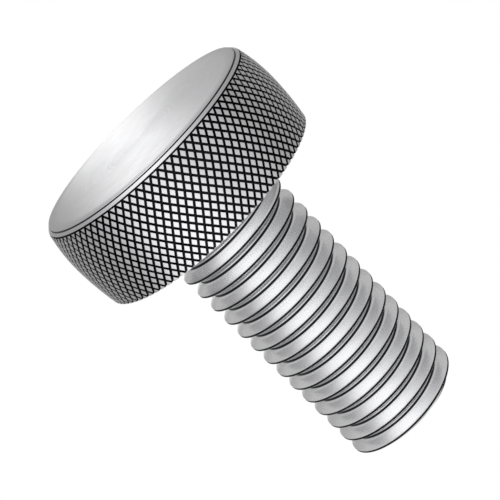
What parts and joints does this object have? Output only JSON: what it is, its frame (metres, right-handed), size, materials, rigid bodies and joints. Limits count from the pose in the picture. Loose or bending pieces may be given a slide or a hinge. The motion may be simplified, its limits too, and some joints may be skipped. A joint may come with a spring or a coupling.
{
  "type": "thumb screw",
  "caption": "One-piece knurled-head thumb screw: a crowned, diamond-knurled cylindrical head with a flat face on a fine right-hand threaded shank with a flat tip.",
  "frame": {"origin": "centre of the head's flat outer face, which the screw stands on", "axes": "+Z along the screw's axis, from the head towards the threaded tip; the screw is round about it, and X and Y are free apart from where the thread and knurl start"},
  "size_m": [0.0122, 0.0122, 0.0181],
  "materials": {
    "stainless": "turned stainless steel, satin"
  },
  "bodies": {
    "root": {"thumb_screw": "stainless"}
  },
  "joints": []
}
